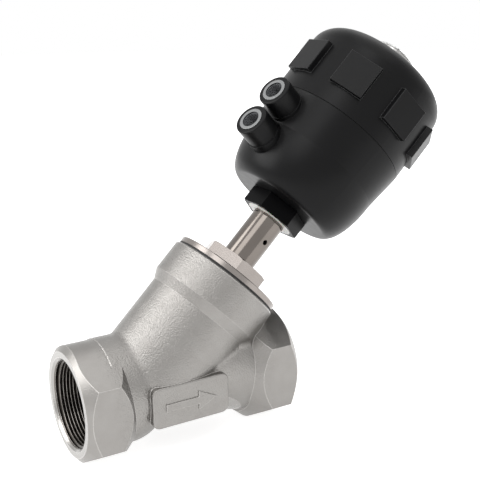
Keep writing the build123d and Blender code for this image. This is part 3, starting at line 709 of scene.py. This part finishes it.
# Filled polytetrafluoroethylene, turned from a moulded tube: waxy and off white
PTFE = Finish(
    name="turned_ptfe",
    colour="E4E2DA",
    second_colour="D9D6CC",
    roughness=0.48,
    gloss_variation=0.04,
    reliefs=(Relief(size=0.5, height=0.01, lay=Lay.ROUND_STEM),),
)

# Bronze, turned for the guide bush
BRONZE = Finish(
    name="turned_bronze",
    colour="B58A52",
    second_colour="A67C47",
    roughness=0.3,
    gloss_variation=0.05,
    metallic=1.0,
    reliefs=(Relief(size=0.5, height=0.01, lay=Lay.ROUND_STEM),),
)

# Nitrile rubber, moulded: matt black with a dusty bloom
NITRILE = Finish(
    name="moulded_nitrile_rubber",
    colour="161616",
    second_colour="1C1C1B",
    roughness=0.62,
    gloss_variation=0.05,
    reliefs=(Relief(size=0.7, height=0.01),),
)

# Which finish each solid of the frame takes
NODE_FINISHES: Mapping[str, Finish] = {
    "valve_body": CAST_STAINLESS,
    "bonnet_gasket": NITRILE,
    "bonnet": TURNED_STAINLESS,
    "neck_tube": POLISHED_TUBE,
    "packing_bottom_ring": PTFE,
    "packing_v_rings": PTFE,
    "packing_washer": ZINC_STEEL,
    "packing_spring": SPRING_STEEL,
    "guide_bush": BRONZE,
    "wiper": NITRILE,
    "stem": TURNED_STAINLESS,
    "plug": TURNED_STAINLESS,
    "seat_disc": PTFE,
    "disc_washer": TURNED_STAINLESS,
    "disc_nut": TURNED_STAINLESS,
    "actuator_nut": BLACK_ACETAL,
    "nut_ring": WHITE_ACETAL,
    "actuator_housing": MOULDED_POLYAMIDE,
    "housing_o_ring": NITRILE,
    "port_insert_lower": NICKELLED_BRASS,
    "port_insert_upper": NICKELLED_BRASS,
    "actuator_cap": MOULDED_POLYAMIDE,
    "piston": CAST_ALUMINIUM,
    "piston_seal": NITRILE,
    "piston_guide_ring": PTFE,
    "piston_washer": ZINC_STEEL,
    "piston_nut": ZINC_STEEL,
    "outer_spring": SPRING_STEEL,
    "inner_spring": SPRING_STEEL,
    "spring_plate": ZINC_STEEL,
    "indicator_rod": RED_ACETAL,
    "indicator_ring": CHROMED_BRASS,
    "indicator_o_ring": NITRILE,
    "indicator_window": CLEAR_POLYCARBONATE,
}


def new_piece(
    name: str,
    points: Sequence[Vector],
    faces: Sequence[Sequence[int]],
    finish: Finish,
    body: str,
) -> bpy.types.Object:
    """Makes a piece from points and faces and lets it ride on a body.

    Args:
        name: the piece's name.
        points: its corners in millimetres.
        faces: the corners of each face.
        finish: what it is made of.
        body: the body of the frame that it moves with.

    Returns:
        The new piece.
    """
    mesh = bpy.data.meshes.new(name)
    mesh.from_pydata([tuple(p * MM) for p in points], [], [tuple(f) for f in faces])
    shape = bmesh.new()
    shape.from_mesh(mesh)
    bmesh.ops.recalc_face_normals(shape, faces=shape.faces)
    shape.to_mesh(mesh)
    shape.free()
    mesh.materials.append(finish.material())
    piece = bpy.data.objects.new(name, mesh)
    bpy.context.scene.collection.objects.link(piece)
    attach(piece, body)
    log.info("%s: %d faces, rides on %s", name, len(mesh.polygons), body)
    return piece


@dataclass(frozen=True)
class ThreadRidge:
    """The ridge of a female thread, which stands inwards from the bored wall of the solid.

    Its profile is given as shares of half the pitch and of the height. The strip that starts at the
    point crest_strip of it is the crest. The ridge is sunk a little into the wall, and no part of its
    run-out is lower than least_swell of the height.
    """

    name: str
    mouth: Vector
    inward: Vector
    wall_radius: float
    start: float
    end: float
    pitch: float
    height: float
    body: str
    slot: str
    crest_finish: Finish
    flank_finish: Finish
    steps_per_turn: int = 96
    sunk: float = 0.12
    runout_turns: float = 0.35
    least_swell: float = 0.02
    crest_strip: int = 3
    profile: tuple[tuple[float, float], ...] = (
        (-0.94, 0.0),
        (-0.62, 0.42),
        (-0.32, 0.86),
        (-0.22, 1.0),
        (0.22, 1.0),
        (0.32, 0.86),
        (0.62, 0.42),
        (0.94, 0.0),
    )

    def build(self) -> bpy.types.Object:
        """Winds the ridge along its helix, with its height running out at both ends.

        Returns:
            The ridge.
        """
        side = self.inward.orthogonal().normalized()
        other = self.inward.cross(side)
        turns = (self.end - self.start) / self.pitch
        steps = round(turns * self.steps_per_turn)
        points: list[Vector] = []
        for step in range(steps + 1):
            turn = step / self.steps_per_turn
            swell = min(1.0, turn / self.runout_turns, (turns - turn) / self.runout_turns)
            angle = 2 * math.pi * turn
            outward = side * math.cos(angle) + other * math.sin(angle)
            for along, rise in self.profile:
                depth = self.start + turn * self.pitch + along * self.pitch / 2
                lift = rise * self.height * max(swell, self.least_swell)
                radius = self.wall_radius + self.sunk - (lift + self.sunk if rise else 0.0)
                points.append(self.mouth + self.inward * depth + outward * radius)
        width = len(self.profile)
        last = steps * width
        faces: list[tuple[int, ...]] = [tuple(range(width)), tuple(range(last, last + width))]
        caps = len(faces)
        for step in range(steps):
            for i in range(width):
                j = (i + 1) % width
                low = step * width
                faces.append((low + i, low + j, low + width + j, low + width + i))
        ridge = new_piece(self.name, points, faces, self.flank_finish, self.body)
        ridge.data.materials.append(self.crest_finish.material())
        for polygon in ridge.data.polygons:
            polygon.use_smooth = True
            strip = polygon.index - caps
            if strip >= 0 and strip % width == self.crest_strip:
                polygon.material_index = 1
        return ridge


@dataclass(frozen=True)
class PipeEnds:
    """The parallel pipe threads in the two hexagon ends."""

    inlet_face: float = -50.0
    outlet_face: float = 102.0
    wall_radius: float = 28.328
    pitch: float = 2.309
    ridge_height: float = 1.15
    start: float = 2.9
    end: float = 22.6

    def build(self) -> None:
        """Builds both threads."""
        ends = (("inlet_thread", self.inlet_face, 1.0), ("outlet_thread", self.outlet_face, -1.0))
        for name, face, inward in ends:
            ThreadRidge(
                name=name,
                mouth=PIPE * face,
                inward=PIPE * inward,
                wall_radius=self.wall_radius,
                start=self.start,
                end=self.end,
                pitch=self.pitch,
                height=self.ridge_height,
                body="valve",
                slot="cast_stainless",
                # The crests carry a painted highlight and the flanks painted shade
                crest_finish=THREAD_CREST,
                flank_finish=THREAD_FLANK,
            ).build()


@dataclass(frozen=True)
class AirPorts:
    """The threads in the inserts of the two air sleeves."""

    face_reach: float = 66.8
    wall_radius: float = 5.72
    pitch: float = 0.907
    ridge_height: float = 0.42
    start: float = 0.9
    end: float = 12.0

    def build(self) -> None:
        """Builds both threads."""
        for name, station in zip(("air_thread_lower", "air_thread_upper"), PORT_STATIONS, strict=True):
            ThreadRidge(
                name=name,
                mouth=STEM * station + PORT * self.face_reach,
                inward=-PORT,
                wall_radius=self.wall_radius,
                start=self.start,
                end=self.end,
                pitch=self.pitch,
                height=self.ridge_height,
                body="actuator",
                slot="grey_insert",
                crest_finish=NICKELLED_BRASS,
                flank_finish=NICKELLED_BRASS,
                steps_per_turn=40,
                sunk=0.05,
            ).build()


@dataclass(frozen=True)
class FlowArrow:
    """The raised arrow on the plate, which shows the way of the flow."""

    centre: float = 19.0
    height: float = 0.0
    plate_reach: float = 37.8
    length: float = 36.0
    shaft_width: float = 5.0
    head_width: float = 13.0
    head_length: float = 13.0
    raised: float = 0.7
    sunk: float = 0.2
    edge: float = 0.28
    edge_steps: int = 3

    def build(self) -> None:
        """Builds the arrow on the front plate."""
        left = self.centre - self.length / 2
        right = self.centre + self.length / 2
        neck = right - self.head_length
        half = self.shaft_width / 2
        wing = self.head_width / 2
        lower = [(left, -half), (neck, -half), (neck, -wing)]
        upper = [(x, -z) for x, z in reversed(lower)]
        outline = [*lower, (right, 0), *upper]
        points = []
        for reach in (self.plate_reach - self.sunk, self.plate_reach + self.raised):
            points += [Vector((x, -reach, self.height + z)) for x, z in outline]
        count = len(outline)
        faces = [tuple(range(count)), tuple(range(count, 2 * count))]
        faces += [(i, (i + 1) % count, count + (i + 1) % count, count + i) for i in range(count)]
        arrow = new_piece("flow_arrow", points, faces, CAST_STAINLESS, "valve")
        soft = arrow.modifiers.new("cast_edges", "BEVEL")
        soft.width = self.edge * MM
        soft.segments = self.edge_steps
        soft.harden_normals = True
        for polygon in arrow.data.polygons:
            polygon.use_smooth = True


@dataclass(frozen=True)
class ReturnSprings:
    """The two springs over the piston, each stood in as a coil of its own.

    The travel is the piston's travel and a hair more; it is not used.
    """

    names: tuple[str, ...] = ("outer_spring", "inner_spring")
    travel: float = 20.1

    def build(self) -> None:
        """Stands a copy of each rigid spring as a coil on the actuator, and hides the rigid spring."""
        for name in self.names:
            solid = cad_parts[name]
            mesh = solid.data.copy()
            mesh.transform(solid.matrix_world)
            coil = bpy.data.objects.new(f"{name}_coil", mesh)
            bpy.context.scene.collection.objects.link(coil)
            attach(coil, "actuator")
            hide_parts(name)
            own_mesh(coil)


@dataclass(frozen=True)
class SoftLamp:
    """One broad soft lamp far away, by its place and spread in degrees and its strength."""

    name: str
    azimuth: float
    elevation: float
    spread: float
    strength: float

    def build(self) -> None:
        """Adds the lamp."""
        data = bpy.data.lights.new(self.name, "SUN")
        data.energy = self.strength
        data.angle = math.radians(self.spread)
        lamp = bpy.data.objects.new(self.name, data)
        way = toward(math.radians(self.azimuth), math.radians(self.elevation))
        lamp.rotation_euler = way.to_track_quat("Z", "Y").to_euler()
        bpy.context.scene.collection.objects.link(lamp)
        log.info("%s: strength %.2f", self.name, self.strength)


@dataclass(frozen=True)
class Studio:
    """The floor, the backdrop and the soft light."""

    floor_level: float = -38.3
    floor_radius: float = 3000.0
    floor_corners: int = 96
    floor_colour: str = "E6E6E6"
    floor_lift: float = 0.8
    ambient: float = 0.5
    backdrop_level: float = 1.0
    lamps: tuple[SoftLamp, ...] = (
        SoftLamp(name="key_lamp", azimuth=-110, elevation=32, spread=44, strength=1.75),
        SoftLamp(name="top_lamp", azimuth=-54, elevation=50, spread=30, strength=0.45),
        SoftLamp(name="ceiling_lamp", azimuth=0, elevation=76, spread=60, strength=0.7),
        SoftLamp(name="right_lamp", azimuth=115, elevation=48, spread=40, strength=0.35),
    )

    def shown(self, tree: bpy.types.NodeTree) -> bpy.types.NodeSocket:
        """Finds the rays that see the background: the camera's, and those off metal and through glass.

        Args:
            tree: the material's or the world's tree.

        Returns:
            1 for those rays, and 0 for the rays that only carry light.
        """
        path = add_node(tree, "ShaderNodeLightPath").outputs
        total = path["Is Camera Ray"]
        for ray in ("Is Glossy Ray", "Is Transmission Ray"):
            sockets = {0: total, 1: path[ray]}
            total = add_node(tree, "ShaderNodeMath", {"operation": "MAXIMUM"}, sockets).outputs[0]
        return total

    def world(self) -> None:
        """Builds the surroundings: a white backdrop, and an even soft light."""
        world = bpy.data.worlds.new("studio_light")
        world.use_nodes = True
        tree = world.node_tree
        tree.nodes.clear()
        sockets = {"Color": WHITE, "Strength": self.ambient}
        light = add_node(tree, "ShaderNodeBackground", None, sockets)
        sockets = {"Color": WHITE, "Strength": self.backdrop_level}
        backdrop = add_node(tree, "ShaderNodeBackground", None, sockets)
        sockets = {0: self.shown(tree), 1: light.outputs[0], 2: backdrop.outputs[0]}
        mixed = add_node(tree, "ShaderNodeMixShader", None, sockets)
        add_node(tree, "ShaderNodeOutputWorld", None, {"Surface": mixed.outputs[0]})
        bpy.context.scene.world = world

    def floor_material(self) -> bpy.types.Material:
        """Builds the floor's matt white, lifted to white where the camera sees it.

        Returns:
            The floor's material.
        """
        made = bpy.data.materials.new("matt_white_floor")
        made.use_nodes = True
        tree = made.node_tree
        tree.nodes.clear()
        matt = add_node(tree, "ShaderNodeBsdfDiffuse", None, {"Color": linear(self.floor_colour)})
        lift = add_node(
            tree, "ShaderNodeMath", {"operation": "MULTIPLY"}, {0: self.shown(tree), 1: self.floor_lift}
        ).outputs[0]
        glow = add_node(tree, "ShaderNodeEmission", None, {"Strength": lift})
        both = add_node(tree, "ShaderNodeAddShader", None, {0: matt.outputs[0], 1: glow.outputs[0]})
        add_node(tree, "ShaderNodeOutputMaterial", None, {"Surface": both.outputs[0]})
        return made

    def floor(self) -> None:
        """Builds the round floor that the valve rests on."""
        mesh = bpy.data.meshes.new("floor")
        shape = bmesh.new()
        radius = self.floor_radius * MM
        bmesh.ops.create_circle(shape, cap_ends=True, segments=self.floor_corners, radius=radius)
        shape.to_mesh(mesh)
        shape.free()
        mesh.materials.append(self.floor_material())
        floor = bpy.data.objects.new("floor", mesh)
        floor.location.z = self.floor_level * MM
        bpy.context.scene.collection.objects.link(floor)

    def build(self) -> None:
        """Builds the light and the floor."""
        self.world()
        self.floor()
        for lamp in self.lamps:
            lamp.build()


@dataclass(frozen=True)
class CameraView:
    """The photograph's viewpoint: angles in degrees, place in millimetres, clipping in metres."""

    azimuth: float = -30.134
    elevation: float = 16.382
    roll: float = -0.871
    place: tuple[float, float, float] = (-222.89, -518.47, 264.48)
    lens: float = 69.696
    sensor: float = 36.0
    clip_start: float = 0.05
    clip_end: float = 20.0

    def build(self) -> None:
        """Places the camera and makes it the scene's own."""
        azimuth = math.radians(self.azimuth)
        roll = math.radians(self.roll)
        back = toward(azimuth, math.radians(self.elevation))
        right = Vector((math.cos(azimuth), math.sin(azimuth), 0.0))
        up = back.cross(right)
        rolled_right = right * math.cos(roll) + up * math.sin(roll)
        rolled_up = up * math.cos(roll) - right * math.sin(roll)
        data = bpy.data.cameras.new("camera")
        data.lens = self.lens
        data.sensor_width = self.sensor
        data.clip_start = self.clip_start
        data.clip_end = self.clip_end
        camera = bpy.data.objects.new("camera", data)
        turn = Matrix((rolled_right, rolled_up, back)).transposed()
        camera.matrix_world = Matrix.Translation(Vector(self.place) * MM) @ turn.to_4x4()
        bpy.context.scene.collection.objects.link(camera)
        bpy.context.scene.camera = camera


def dress_nodes() -> None:
    """Gives each solid of the frame its finish."""
    for name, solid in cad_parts.items():
        material = NODE_FINISHES[name].material()
        if not solid.material_slots:
            solid.data.materials.append(material)
        for material_slot in solid.material_slots:
            material_slot.material = material
        log.info("%s: %s", name, material.name)


def main() -> None:
    """Dresses the frame, adds the pieces that the solids don't have and sets the studio up."""
    logging.basicConfig(level=logging.INFO, format="%(message)s")
    bpy.context.scene.view_settings.view_transform = "Standard"
    dress_nodes()
    PipeEnds().build()
    AirPorts().build()
    FlowArrow().build()
    ReturnSprings().build()
    Studio().build()
    CameraView().build()


if __name__ == "__main__":
    main()
